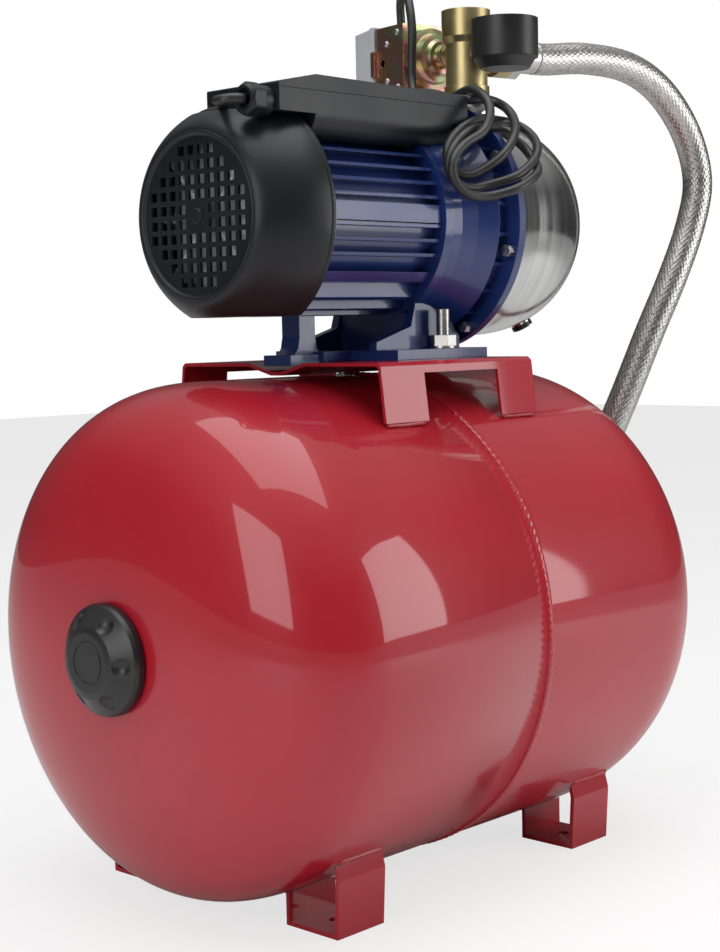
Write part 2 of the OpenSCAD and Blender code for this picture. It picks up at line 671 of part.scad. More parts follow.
module drain_plug() {
    color([0.08, 0.08, 0.09]) at_drain() difference() {
        union() {
            translate([0, 0, -3]) cylinder(r = 4.9, h = 7);
            translate([0, 0, -5.4]) cylinder(r = 8.6, h = 3.2);
        }
        translate([-1.4, -10, -6]) cube([2.8, 20, 2.4]);
    }
}

module discharge_nipple() {
    z0 = axis_z + casing_r;
    color([0.62, 0.36, 0.2]) translate([head_x, 0, 0]) difference() {
        union() {
            translate([0, 0, z0 - 6]) cylinder(r = 15, h = 32);
            translate([0, 0, z0 + 9.7]) cylinder(r = 18, h = 5);
        }
        translate([0, 0, z0 - 7]) cylinder(r = 11.5, h = 34);
    }
}

// Five-way manifold: bottom socket, top socket, hose branch, gauge port and switch port.
module brass_manifold() {
    z0 = axis_z + casing_r + 15;
    top = 652;
    color([0.58, 0.5, 0.3]) at_head() difference() {
        union() {
            translate([0, 0, z0]) cylinder(r = 18, h = 9);
            translate([0, 0, z0 + 4]) cylinder(r = 16.6, h = 50);
            translate([0, 0, top - 26]) cylinder(r1 = 16.6, r2 = 19.4, h = 5);
            translate([0, 0, top - 21]) cylinder(r = 19.4, h = 21);
            translate([0, 0, port_z]) rotate([0, 90, 0]) cylinder(r = 15, h = 40);
            translate([26, 0, port_z]) rotate([0, 90, 0]) cylinder(r = 17.6, h = 14);
            translate([0, 0, port_z - 4]) rotate([90, 0, 0]) cylinder(r = 8, h = 19);
            translate([0, 0, port_z]) rotate([-90, 0, 0]) cylinder(r = 9, h = 22);
        }
        translate([0, 0, z0 - 1]) cylinder(r = 15.1, h = 14);
        translate([0, 0, z0]) cylinder(r = 12.5, h = 60);
        translate([0, 0, top - 16]) cylinder(r = g1_r, h = 17);
        translate([0, 0, port_z]) rotate([0, 90, 0]) cylinder(r = 12.5, h = 41);
        translate([28, 0, port_z]) rotate([0, 90, 0]) cylinder(r = g1_r, h = 13);
        translate([0, 0, port_z - 4]) rotate([90, 0, 0]) cylinder(r = 5, h = 22);
        translate([0, 0, port_z]) rotate([-90, 0, 0]) cylinder(r = 5, h = 23);
    }
}

// Gauge case with its stem, seen from below as a tapered back.
module gauge_case() {
    r = gauge_d / 2;
    color([0.08, 0.08, 0.09]) at_head() union() {
        translate([0, -gauge_reach, 0]) rotate_extrude($fn = 96) polygon([[0, 601], [19, 601], [24, 608.6],
            [r, 609], [r, 638.6], [r - 1.6, 638.6], [r - 2.2, 634.4], [r - 2.2, 631], [0, 631]]);
        translate([0, -gauge_reach + 18, port_z - 4]) rotate([-90, 0, 0]) cylinder(r = 4.9, h = 16);
    }
}

module gauge_dial() {
    color([0.95, 0.95, 0.93]) at_head() translate([0, -gauge_reach, 631.1]) difference() {
        cylinder(r = gauge_d / 2 - 2.6, h = 1);
        translate([0, 0, -1]) cylinder(r = 1.3, h = 3);
    }
}

module gauge_pointer() {
    color([0.05, 0.05, 0.05]) at_head() translate([0, -gauge_reach, 0]) union() {
        translate([0, 0, 631.35]) cylinder(r = 1.25, h = 3);
        translate([0, 0, 632.7]) cylinder(r = 3, h = 1.4);
        rotate([0, 0, -135]) translate([-0.7, -6, 632.8]) cube([1.4, 25, 0.7]);
    }
}

module gauge_lens() {
    color([0.85, 0.9, 0.92, 0.4]) at_head() translate([0, -gauge_reach, 635.4])
        cylinder(r = gauge_d / 2 - 2.4, h = 1.8);
}

module diaphragm_cap() {
    color([0.62, 0.5, 0.28]) at_head() translate([0, 0, port_z]) rotate([-90, 0, 0]) difference() {
        union() {
            rotate_extrude($fn = 96) polygon([[0, 15], [4.9, 15], [4.9, 22.4], [9.5, 22.4],
                [9.5, 29], [13, 30], [15, 33.5], [19, 35], [20.5, 40.5], [25, 42], [25, 47.8],
                [0, 47.8]]);
        }
        translate([0, 0, 36]) cylinder(r = 12, h = 13);
        translate([0, 0, 10]) cylinder(r = 2.2, h = 30);
    }
}

module switch_plunger() {
    color([0.8, 0.8, 0.8]) at_head() translate([0, 0, port_z]) rotate([-90, 0, 0]) union() {
        translate([0, 0, 38]) cylinder(r = 11, h = 3);
        translate([0, 0, 41]) cylinder(r = 4, h = 17.9);
    }
}

// Bent zinc-plated tray that carries the contacts.
module switch_base() {
    w = 26;
    h = 29;
    color([0.66, 0.52, 0.32]) at_head() translate([0, 0, port_z - 1]) union() {
        difference() {
            union() {
                translate([-w, 48, -h]) cube([2 * w, 41, 2 * h]);
                translate([-w - 4, 82, -10]) cube([6, 5, 20]);
            }
            translate([-w + 1.5, 49.5, -h + 1.5]) cube([2 * w - 3, 42, 2 * h - 3]);
            translate([0, 47, 1]) rotate([-90, 0, 0]) cylinder(r = 4.08, h = 4);
            translate([-w - 1, 76, 0]) rotate([0, 90, 0]) cylinder(r = 3, h = 4);
            translate([-4, 78, h - 3]) cylinder(r = 5, h = 5);
        }
        translate([1 - w, 60.2, -22]) rotate([0, 90, 0]) cylinder(r = 0.95, h = 2 * w - 2);
    }
}

module switch_lever() {
    color([0.8, 0.78, 0.7]) at_head() translate([0, 0, port_z - 1]) difference() {
        union() {
            translate([-18, 59.2, -22]) cube([36, 2, 40]);
            translate([-20, 60.2, -22]) rotate([0, 90, 0]) cylinder(r = 2.4, h = 40);
        }
        translate([-21, 60.2, -22]) rotate([0, 90, 0]) cylinder(r = 1, h = 42);
    }
}

module switch_cover() {
    color([0.74, 0.76, 0.78]) at_head() translate([0, 0, port_z - 1]) difference() {
        union() {
            translate([-27.6, 85, -30.6]) cube([55.2, 6, 61.2]);
            hull() {
                translate([-26.8, 90, -29.8]) cube([53.6, 1, 59.6]);
                translate([-25, 113, -28]) cube([50, 1, 56]);
                translate([-21, 118, -23]) cube([42, 1, 46]);
            }
        }
        translate([-26.2, 84, -29.2]) cube([52.4, 5.2, 58.4]);
        translate([-23.4, 89, -26.4]) cube([46.8, 22, 52.8]);
        translate([-31, 81, -11]) cube([6, 7, 22]);
    }
}

module braided_hose() {
    color([0.7, 0.7, 0.71]) swept(hose_points, hose_d / 2, 12, 2);
}

// Hexagon nuts and crimped ferrules at both ends of the hose.
module hose_ends() {
    color([0.78, 0.78, 0.79]) union() {
        at_head() translate([0, 0, port_z]) rotate([0, 90, 0]) rotate_extrude($fn = 64) polygon([[9, 29],
            [15, 29], [15, 40.3], [12.2, 40.3], [12.2, 53.8], [9, 53.8]]);
        at_head() translate([40.3, 0, port_z]) rotate([0, 90, 0]) difference() {
            cylinder(d = 31 / cos(30), h = 11.5, $fn = 6);
            translate([0, 0, -1]) cylinder(r = 11, h = 14);
        }
        at_head() translate([0, 0, port_z]) rotate([0, 90, 0]) rotate_extrude($fn = 64) polygon([[9, 53.8],
            [12.6, 53.8], [12.6, 69.6], [9, 69.6]]);
        translate([303, 0, 0]) rotate_extrude($fn = 64) polygon([[9, 223.4], [15.6, 223.4], [15.6, 235],
            [12.6, 236], [12.6, 247.8], [9, 247.8]]);
    }
}

module tank_elbow() {
    color([0.7, 0.62, 0.38]) difference() {
        union() {
            rod_x(16.2, tank_right + 22.3, 303, 0, tank_z);
            rod_x(21, tank_right + 38.3, tank_right + 52, 0, tank_z);
            translate([303, 0, tank_z]) sphere(r = 19);
            translate([303, 0, tank_z]) cylinder(r = 17, h = 34);
        }
        rod_x(12, tank_right + 21, 303, 0, tank_z);
        translate([303, 0, tank_z]) sphere(r = 12);
        translate([303, 0, tank_z]) cylinder(r = 12, h = 36);
    }
}

module motor_lead() {
    color([0.06, 0.06, 0.06]) union() {
        swept(lead_out, lead_d / 2, 8, 1);
        swept(lead_back, lead_d / 2, 8, 1);
    }
}

// Three turns of spare lead, lying on the shoulder of the bracket, as one thick open ring.
module lead_coil() {
    color([0.06, 0.06, 0.06]) swept(coil_line, 7, 10, 2);
}

tank_shell_left();
tank_shell_right();
girth_weld();
air_valve();
valve_pin();
air_cap();
membrane();
tank_flange();
flange_bolts();
foot_near_left();
foot_near_right();
foot_far_left();
foot_far_right();
pump_saddle();
pump_bracket();
saddle_bolts();
motor_frame();
stator_core();
stator_windings();
rear_end_shield();
wave_spring();
bearing_outer_rings();
bearing_balls();
bearing_inner_rings();
motor_shaft();
rotor_core();
cooling_fan();
fan_cover();
terminal_box();
terminal_lid();
capacitor();
terminal_block();
cable_gland();
gland_nut();
pump_casing();
casing_bolts();
casing_seal();
seal_plate();
seal_seat();
seal_head();
impeller();
diffuser();
ejector();
drain_plug();
discharge_nipple();
brass_manifold();
gauge_case();
gauge_dial();
gauge_pointer();
gauge_lens();
diaphragm_cap();
switch_base();
switch_cover();
switch_plunger();
switch_lever();
braided_hose();
hose_ends();
tank_elbow();
motor_lead();
lead_coil();
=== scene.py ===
import math

import bmesh
import bpy
import numpy as np
from mathutils import Matrix, Vector


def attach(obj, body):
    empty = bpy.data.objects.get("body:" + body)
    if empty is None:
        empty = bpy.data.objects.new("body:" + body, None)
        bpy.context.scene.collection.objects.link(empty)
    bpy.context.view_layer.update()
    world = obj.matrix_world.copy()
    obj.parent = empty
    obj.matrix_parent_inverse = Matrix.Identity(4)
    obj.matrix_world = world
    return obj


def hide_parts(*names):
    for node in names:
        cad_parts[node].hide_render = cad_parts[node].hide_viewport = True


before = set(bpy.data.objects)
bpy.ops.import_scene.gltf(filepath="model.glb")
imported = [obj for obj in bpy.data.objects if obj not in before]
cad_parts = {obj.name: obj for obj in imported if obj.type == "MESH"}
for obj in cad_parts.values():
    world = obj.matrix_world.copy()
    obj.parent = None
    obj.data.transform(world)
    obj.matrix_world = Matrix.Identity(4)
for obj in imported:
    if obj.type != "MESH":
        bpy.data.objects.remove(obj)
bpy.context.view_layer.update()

# ---------------------------------------------------------------- camera
# A long lens to the left front of the set, a little above its middle.
# Azimuth is measured from straight ahead along +Y, tilt below the horizon.
azimuth, tilt, roll = (math.radians(a) for a in (46.536, 4.954, -1.2545))
ahead = Vector((math.sin(azimuth) * math.cos(tilt), math.cos(azimuth) * math.cos(tilt), -math.sin(tilt)))
level = Vector((math.cos(azimuth), -math.sin(azimuth), 0))
upright = level.cross(ahead)
side = level * math.cos(roll) + upright * math.sin(roll)
top = upright * math.cos(roll) - level * math.sin(roll)
lens = bpy.data.cameras.new("camera")
lens.sensor_width = 36
lens.lens = 65.28
lens.clip_end = 50
camera = bpy.data.objects.new("camera", lens)
bpy.context.scene.collection.objects.link(camera)
camera.matrix_world = Matrix.Translation((-0.94324, -0.89601, 0.40426)) @ Matrix(
    (side, top, -ahead)).transposed().to_4x4()
bpy.context.scene.camera = camera

# ---------------------------------------------------------------- motor lead
# A round black three-core flex, moulded smooth. It leaves the gland at the fan end,
# bends back over the cowl, runs along the motor's far shoulder and is wound into three
# spare turns against the bracket before it goes up into the pressure switch.
MM = 0.001


def unit(v):
    """Rows of v at length one."""
    return v / np.maximum(np.linalg.norm(v, axis=-1, keepdims=True), 1e-12)


def spline(points, steps):
    """Catmull-Rom curve through the points: a cubic between each pair, steps pieces each."""
    p = np.array(points, float)
    a, b, c, d = p[np.r_[0, 0:len(p) - 2]], p[:-1], p[1:], p[np.r_[2:len(p), len(p) - 1]]
    t = (np.arange(steps) / steps)[None, :, None]
    a, b, c, d = (q[:, None, :] for q in (a, b, c, d))
    curve = 0.5 * (2 * b + (c - a) * t + (2 * a - 5 * b + 4 * c - d) * t**2 + (3 * b - 3 * c + d - a) * t**3)
    return np.vstack([curve.reshape(-1, 3), p[-1:]])


def evened(line, count):
    """The same line with its points an equal arc length apart."""
    run = np.r_[0, np.cumsum(np.linalg.norm(np.diff(line, axis=0), axis=1))]
    at = np.linspace(0, run[-1], count)
    return np.stack([np.interp(at, run, line[:, k]) for k in range(3)], 1)


def relaxed(line, rounds):
    """Each inner point moves to the mean of itself and its neighbours, rounds times."""
    line = line.copy()
    for _ in range(rounds):
        line[1:-1] = 0.5 * line[1:-1] + 0.25 * (line[:-2] + line[2:])
    return line


def run_length(line):
    """Sum of the distances between neighbouring points."""
    return float(np.linalg.norm(np.diff(line, axis=0), axis=1).sum())


def carried(line, first):
    """Tangent and two side directions at each point, the sides carried along without twist."""
    t = unit(np.gradient(line, axis=0))
    n = np.zeros_like(t)
    m = np.array(first, float)
    for i in range(len(t)):
        m = m - m.dot(t[i]) * t[i]
        m /= np.linalg.norm(m)
        n[i] = m
    return t, n, np.cross(t, n)


def grid_faces(rows, columns, around, closed=False):
    """Quads between neighbouring rows; around closes each row on itself, and closed joins the last
    row to the first."""
    i = np.arange(rows if closed else rows - 1)[:, None]
    j = np.arange(columns if around else columns - 1)[None, :]
    k, m = (j + 1) % columns, (i + 1) % rows
    quads = np.stack([i * columns + j, i * columns + k, m * columns + k, m * columns + j], -1)
    return quads.reshape(-1, 4)


def solid_mesh(name, parts, crease=38):
    """A mesh object from parts of (points in millimetres, polygons), with its normals outward and edges
    sharper than crease kept."""
    points, faces, base = [], [], 0
    for part_points, part_faces in parts:
        points.append(np.asarray(part_points, float) * MM)
        faces += [tuple(int(i) + base for i in f) for f in part_faces]
        base += len(part_points)
    mesh = bpy.data.meshes.new(name)
    mesh.from_pydata(np.vstack(points).tolist(), [], faces)
    work = bmesh.new()
    work.from_mesh(mesh)
    bmesh.ops.remove_doubles(work, verts=work.verts, dist=2e-6)
    bmesh.ops.delete(work, geom=[edge for edge in work.edges if edge.is_wire], context="EDGES")
    bmesh.ops.recalc_face_normals(work, faces=work.faces)
    if work.calc_volume(signed=True) < 0:
        bmesh.ops.reverse_faces(work, faces=work.faces)
    work.to_mesh(mesh)
    work.free()
    mesh.polygons.foreach_set("use_smooth", np.ones(len(mesh.polygons), bool))
    mesh.set_sharp_from_angle(angle=math.radians(crease))
    made = bpy.data.objects.new(name, mesh)
    bpy.context.scene.collection.objects.link(made)
    return made


def tube(line, radius, sides):
    """A closed tube: circles of the radius (one, or one for each point) square to the line."""
    t, n, b = carried(line, (0.1, 0.2, 1))
    a = np.linspace(0, 2 * math.pi, sides, endpoint=False)
    r = np.broadcast_to(np.asarray(radius, float).reshape(-1, 1, 1), (len(line), 1, 1))
    ring = np.cos(a)[None, :, None] * n[:, None] + np.sin(a)[None, :, None] * b[:, None]
    points = (line[:, None] + r * ring).reshape(-1, 3)
    last = (len(line) - 1) * sides
    faces = grid_faces(len(line), sides, True).tolist()
    return points, faces + [list(range(sides)), list(range(last + sides - 1, last - 1, -1))]


def surface(name, tones, patch=18.0, rough=(0.3, 0.45), metal=0.0, coat=0.0, coat_rough=0.05, relief=0.03,
            grain=450.0, edge=0.5, stretch=(1, 1, 1), spread=(0.35, 0.65), gloss=0.5):
    """Two noises in Object coordinates: the broad one blends the tones and the roughness, the fine one
    raises the surface by relief millimetres, over edges rounded by edge millimetres."""
    made = bpy.data.materials.new(name)
    made.use_nodes = True
    tree = made.node_tree
    shader = tree.nodes["Principled BSDF"]
    place = tree.nodes.new("ShaderNodeTexCoord")
    laid = tree.nodes.new("ShaderNodeMapping")
    laid.inputs["Scale"].default_value = stretch
    broad, fine = tree.nodes.new("ShaderNodeTexNoise"), tree.nodes.new("ShaderNodeTexNoise")
    broad.inputs["Scale"].default_value, broad.inputs["Detail"].default_value = patch, 5
    fine.inputs["Scale"].default_value, fine.inputs["Detail"].default_value = grain, 3
    ramp = tree.nodes.new("ShaderNodeValToRGB")
    while len(ramp.color_ramp.elements) < len(tones):
        ramp.color_ramp.elements.new(0.5)
    for step, tone in enumerate(tones):
        part = ramp.color_ramp.elements[step]
        part.position = spread[0] + (spread[1] - spread[0]) * step / (len(tones) - 1)
        part.color = (*tone, 1)
    worn = tree.nodes.new("ShaderNodeMapRange")
    worn.inputs["From Min"].default_value, worn.inputs["From Max"].default_value = 0.3, 0.7
    worn.inputs["To Min"].default_value, worn.inputs["To Max"].default_value = rough
    raised, rounded = tree.nodes.new("ShaderNodeBump"), tree.nodes.new("ShaderNodeBevel")
    raised.inputs["Distance"].default_value = relief * MM
    rounded.inputs["Radius"].default_value = edge * MM
    rounded.samples = 3
    for out, into in ((place.outputs["Object"], laid.inputs["Vector"]),
                      (laid.outputs["Vector"], broad.inputs["Vector"]),
                      (laid.outputs["Vector"], fine.inputs["Vector"]),
                      (broad.outputs["Fac"], ramp.inputs["Fac"]), (broad.outputs["Fac"],
                                                                   worn.inputs["Value"]),
                      (ramp.outputs["Color"], shader.inputs["Base Color"]),
                      (worn.outputs["Result"], shader.inputs["Roughness"]),
                      (fine.outputs["Fac"], raised.inputs["Height"]), (rounded.outputs["Normal"],
                                                                       raised.inputs["Normal"]),
                      (raised.outputs["Normal"], shader.inputs["Normal"])):
        tree.links.new(out, into)
    shader.inputs["Metallic"].default_value = metal
    shader.inputs["Coat Weight"].default_value = coat
    shader.inputs["Coat Roughness"].default_value = coat_rough
    shader.inputs["Specular IOR Level"].default_value = gloss
    return made


def dress(material, *nodes):
    """Gives CAD nodes their finish."""
    for node in nodes:
        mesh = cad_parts[node].data
        mesh.materials.clear()
        mesh.materials.append(material)


def fitted(piece, material, slot, body, *nodes):
    """A new piece gets its finish, rides on its body and stands for the CAD nodes."""
    piece.data.materials.append(material)
    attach(piece, body)
    if nodes:
        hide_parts(*nodes)
    return piece


LEAD_D = 7.0
lead_out = [(-152, -47, 556), (-159, -46.3, 555.8), (-164, -41.5, 555.2), (-164, -34, 554.8),
            (-157.5, -28, 556), (-147, -20, 557.4), (-134, -7, 557.6), (-122, 6, 557.6), (-112, 19, 557.6),
            (-108, 34, 558), (-105.5, 49, 556), (-99, 60.5, 547.5), (-89, 65.5, 532), (-76, 66.5, 520.5),
            (-60, 66, 517.5), (-35, 66, 517), (-10, 66, 517), (14, 67, 518), (34, 72, 524), (50, 75.5, 533),
            (62, 73, 545), (70.8, 64, 559.2), (70.8, 45.5, 571.3), (70.8, 15.8, 581), (70.8, -15.8, 581),
            (71, -38, 574.7)]
first_turn = [(76, -52, 572.5), (86, -56.5, 573.5), (97, -57, 573), (105, -61.5, 569.5), (106, -69, 562),
              (99, -77.5, 553), (86, -86, 542), (70, -89.5, 529), (56, -84, 518.5), (44, -78.5, 512.5),
              (33, -73.5, 514), (28, -70, 523), (31, -67.5, 533), (40, -66.5, 542), (50, -66, 548.5)]
second_turn = [(61, -65, 553), (71, -64.5, 556), (82, -63, 558.5), (93, -60.5, 558), (104, -60, 558),
               (113, -62, 557), (119, -68, 553.5), (119, -77.5, 546.5), (112.5, -87.5, 538), (101, -95, 528),
               (85, -98.5, 518), (70, -96.5, 510.5), (54, -86, 505.5), (41, -83, 502.5), (29, -80, 505),
               (22, -77, 514), (24, -75.8, 526), (34, -74.7, 536.5), (46, -73.6, 544)]
third_turn = [(59, -72, 548.5), (73, -71, 550), (88, -70, 549.5), (99, -72, 545), (105.5, -79, 538),
              (107, -85, 530), (104.5, -92.5, 523.5), (96, -100.5, 516), (83, -104, 509.5), (68, -103.5,
                                                                                             502.5),
              (54, -96, 498), (41, -91, 496), (27, -87.5, 498.5), (18, -84.5, 508), (18.5, -83, 520),
              (28, -82, 530.5), (41, -82, 538), (54, -83, 544)]
lead_back = [(63, -82, 555), (69, -76.5, 567), (76, -60, 578.5), (82, -45, 581), (90, -24, 578),
             (94.5, -5, 575.5), (97, 12, 577), (102, 26, 586), (107, 33, 600), (109.5, 34.5, 618),
             (111, 35, 640), (115, 41, 660), (124, 52, 673), (135, 67, 675), (143, 76, 667), (145.6, 77.5,
                                                                                              655),
             (145.6, 77.5, 646)]
lead_line = np.vstack([lead_out, first_turn, second_turn, third_turn, lead_back])
lead_line = evened(relaxed(evened(spline(lead_line, 6), 900), 12), 460)
lead = solid_mesh("motor_lead_flex", [tube(lead_line, LEAD_D / 2, 20)])
flex_rubber = surface("flex_rubber", [(0.012, 0.012, 0.013), (0.022, 0.022, 0.024)], 60, (0.35, 0.5),
                      relief=0.04,
                      grain=900, edge=0.1)
fitted(lead, flex_rubber, "cable_rubber", "pump_set", "motor_lead", "lead_coil")

# ---------------------------------------------------------------- braided hose
# A rubber hose under a close plaited sheath of fine stainless wire, two wires to a strand,
# with a hexagon union nut at the manifold and crimped ferrules at both ends.
HOSE_D = 26.0
STRANDS = 24
hose_points = [(205, -12.2, 620), (222, -15.2, 620.5), (262, -24, 624), (310, -34, 620), (348, -42, 602),
               (379, -48, 568), (391, -52, 527), (382, -50, 487), (362, -44, 441), (342, -34, 395),
               (324, -22, 345), (312, -10, 305), (304, -1.5, 272), (303, 0, 260), (303, 0, 248.5)]


def plaited(line, radius, strands, pitch, height, samples):
    """A tube whose radius rises and falls as two crossing families of round strands: each family is a
    wave of angle plus or minus length over pitch, raised and lowered in turn by the product of both."""
    sides = strands * samples
    t, n, b = carried(line, (0.1, 0.2, 1))
    run = np.r_[0, np.cumsum(np.linalg.norm(np.diff(line, axis=0), axis=1))][:, None]
    a = np.linspace(0, 2 * math.pi, sides, endpoint=False)[None, :]
    left = strands * a / (2 * math.pi) + run / pitch
    right = strands * a / (2 * math.pi) - run / pitch
    over = np.sin(math.pi * left) * np.sin(math.pi * right)
    first = np.abs(np.sin(math.pi * left)) ** 0.7 * (0.6 + 0.4 * over)
    second = np.abs(np.sin(math.pi * right)) ** 0.7 * (0.6 - 0.4 * over)
    r = (radius - height + height * np.maximum(first, second))[:, :, None]
    ring = np.cos(a)[..., None] * n[:, None] + np.sin(a)[..., None] * b[:, None]
    points = (line[:, None] + r * ring).reshape(-1, 3)
    last = (len(line) - 1) * sides
    faces = grid_faces(len(line), sides, True).tolist()
    return points, faces + [list(range(sides)), list(range(last + sides - 1, last - 1, -1))]


hose_line = evened(relaxed(evened(spline(hose_points, 8), 260), 6), 680)
hose = solid_mesh("hose_braid", [plaited(hose_line, HOSE_D / 2, STRANDS, 6.2, 0.45, 6)], 180)
braid_wire = surface("braid_wire", [(0.36, 0.35, 0.33), (0.50, 0.49, 0.47)], 240, (0.3, 0.42), metal=1.0,
                     relief=0.05,
                     grain=1400, edge=0.05)
fitted(hose, braid_wire, "braid", "pump_set", "braided_hose")
zinc_plate = surface("zinc_plate", [(0.40, 0.39, 0.37), (0.54, 0.53, 0.51)], 90, (0.22, 0.4), metal=1.0,
                     relief=0.02,
                     edge=0.5)
dress(zinc_plate, "hose_ends")

# ---------------------------------------------------------------- tank
# Two deep-drawn steel shells, lap-joined and welded round the middle, under a thick
# glossy coat of red enamel.
TANK_R, TANK_Z, TANK_WALL = 180.0, 189.0, 2.0
TANK_LEFT, TANK_RIGHT, DOME_DEPTH, SEAM_X = -241.5, 233.5, 99.5, 3.0


def turned(profile, origin=(0, 0, 0), along=(1, 0, 0), count=144, start=0.0):
    """A closed profile of (radius, distance) points carried round a line: each point goes to
    origin + distance * along + radius * (cosine * one side + sine * the other)."""
    profile, along = np.array(profile, float), unit(np.array(along, float))
    side = unit(np.cross((0, 1, 0), along) if abs(along[1]) < 0.9 else np.cross((1, 0, 0), along))
    other = np.cross(along, side)
    a = np.linspace(0, 2 * math.pi, count, endpoint=False) + start
    ring = np.cos(a)[:, None] * side + np.sin(a)[:, None] * other
    points = np.array(origin, float) + profile[:, 1, None, None] * along + profile[:, 0, None,
                                                                                   None] * ring[None]
    return points.reshape(-1, 3), grid_faces(len(profile), count, True, True)


def dome(radius, depth, count=56):
    """Radius and depth of a full end: their cubes, as parts of the largest, add up to one."""
    t = np.linspace(0, math.pi / 2, count)
    return np.stack([radius * np.cos(t) ** (2 / 3), depth * np.sin(t) ** (2 / 3)], 1)


def shell_end(wall, mouth, end, way):
    """One skin of a domed end as (radius, x), from its straight side to the mouth; way is -1 or 1."""
    skin = dome(TANK_R - wall, DOME_DEPTH - wall)
    skin = skin[skin[:, 0] > mouth]
    return [(r, end - way * (DOME_DEPTH - d)) for r, d in skin]


red_enamel = surface("red_enamel", [(0.36, 0.008, 0.019), (0.41, 0.012, 0.025)], 7, (0.34, 0.46), coat=0.8,
                     coat_rough=0.05, relief=0.012, grain=160, edge=0.9, gloss=0.2)
left_skin = [(TANK_R, SEAM_X - 4)] + shell_end(0, 4.2, TANK_LEFT, -1)
left_core = shell_end(TANK_WALL, 4.2, TANK_LEFT, -1)[::-1]
left_shell = solid_mesh("tank_left", [
    turned(left_skin + [(4.2, TANK_LEFT), (4.2, TANK_LEFT + TANK_WALL)] + left_core
           + [(178, SEAM_X - 4), (176, SEAM_X - 1), (176, SEAM_X + 12), (178, SEAM_X + 12), (178,
                                                                                             SEAM_X - 1)],
           (0, 0, TANK_Z), count=192),
    turned([(25, -247.5), (29.2, -247.5), (30, -246.7), (30, -240.5), (25, -240.5)], (0, 0, TANK_Z))])
fitted(left_shell, red_enamel, "red_paint", "pump_set", "tank_shell_left")
right_skin = [(TANK_R, SEAM_X)] + shell_end(0, 42, TANK_RIGHT, 1)
right_core = shell_end(TANK_WALL, 42, TANK_RIGHT, 1)[::-1]
right_shell = solid_mesh("tank_right", [
    turned(right_skin + [(42, TANK_RIGHT), (42, TANK_RIGHT - TANK_WALL)] + right_core + [(178, SEAM_X)],
           (0, 0, TANK_Z), count=192),
    turned([(42, 229.5), (72, 229.5), (72, 239.5), (42, 239.5)], (0, 0, TANK_Z))])
fitted(right_shell, red_enamel, "red_paint", "pump_set", "tank_shell_right")


def ring_weld(radius, x, half, rise, ripples, count):
    """A half-round bead about the tank; its height ripples with the angle, bowed back at its edges."""
    u = np.linspace(-1, 1, 11)[:, None]
    a = np.linspace(0, 2 * math.pi, count, endpoint=False)[None, :]
    wander = 0.25 * np.sin(5 * a) + 0.2 * np.sin(11 * a + 1)
    r = radius + rise * np.sqrt(1 - u**2) * (1 + 0.2 * np.cos(ripples * a + 2.5 * u**2))
    r = np.vstack([r, np.full((1, count), radius - 1.4)])
    xs = np.vstack([x + half * u + wander, np.full((1, count), x)])
    points = np.stack([xs, r * np.sin(a), TANK_Z + r * np.cos(a)], -1).reshape(-1, 3)
    return points, grid_faces(12, count, True, True)


girth = solid_mesh("girth_bead", [ring_weld(TANK_R - 0.2, SEAM_X - 1.8, 3.1, 1.3, 190, 1140)], 180)
fitted(girth, red_enamel, "red_paint", "pump_set", "girth_weld")

# ---------------------------------------------------------------- feet and platform
# Bent strip feet and a folded sheet platform, welded to the tank before the enamel, so their
# beads and the drips at the ends of the legs are red too.
dress(red_enamel, "foot_near_left", "foot_near_right", "foot_far_left", "foot_far_right", "pump_saddle")


def bead(start, end, radius, seed):
    """A weld bead: a tube from start to end, swelling in ripples and in a few slow seeded lumps."""
    draw = np.random.default_rng(seed)
    t = np.linspace(0, 1, 61)
    line = np.array(start)[None] * (1 - t[:, None]) + np.array(end)[None] * t[:, None]
    lumps = np.interp(t, np.linspace(0, 1, 9), draw.uniform(-0.2, 0.25, 9))
    ends = np.clip(np.minimum(t, 1 - t) / 0.06, 0.05, 1) ** 0.5
    r = radius * (1 + lumps + 0.09 * np.cos(2 * math.pi * t * run_length(line[[0, -1]]) / 1.9)) * ends
    line[:, 2] += 0.5 * radius * np.interp(t, np.linspace(0, 1, 7), draw.uniform(-0.3, 0.3, 7))
    return tube(line, r, 12)


beads = []
for side in (-1, 1):
    for n, (x0, x1) in enumerate(((-82, -40), (43, 82))):
        beads.append(bead((x0, side * 105.2, 336.6), (x1, side * 105.2, 336.6), 1.5, 10 + n + side))
    for n, x in enumerate((-129.5, 129.5)):
        beads.append(bead((x - 22, side * 117.4, 52.4), (x + 22, side * 117.4, 52.4), 1.7, 20 + n + side))
        beads.append(bead((x - 22, side * 67.2, 22.0), (x + 22, side * 67.2, 22.0), 1.7, 30 + n + side))
fitted(solid_mesh("weld_beads", beads, 180), red_enamel, "red_paint", "pump_set")

# ---------------------------------------------------------------- tank ends
# A black moulded cap screws over the brass air valve; the other end closes on a zinc-plated
# flange that clamps the rubber membrane with six bolts and carries the brass elbow.
black_moulding = surface("black_moulding", [(0.010, 0.010, 0.011), (0.018, 0.018, 0.020)], 30, (0.32, 0.46),
                         relief=0.03, grain=700, edge=0.8)
dress(black_moulding, "air_cap")
turned_brass = surface("turned_brass", [(0.55, 0.42, 0.16), (0.68, 0.54, 0.24)], 40, (0.24, 0.42), metal=1.0,
                       relief=0.02, edge=0.4)
dress(turned_brass, "air_valve", "tank_elbow")
bright_steel = surface("bright_steel", [(0.42, 0.42, 0.44), (0.56, 0.56, 0.58)], 80, (0.22, 0.38), metal=1.0,
                       relief=0.015, edge=0.3)
dress(bright_steel, "valve_pin")
dress(zinc_plate, "tank_flange", "flange_bolts")
soft_rubber = surface("soft_rubber", [(0.012, 0.012, 0.012), (0.024, 0.024, 0.025)], 50, (0.55, 0.75),
                      relief=0.06)
dress(soft_rubber, "membrane")
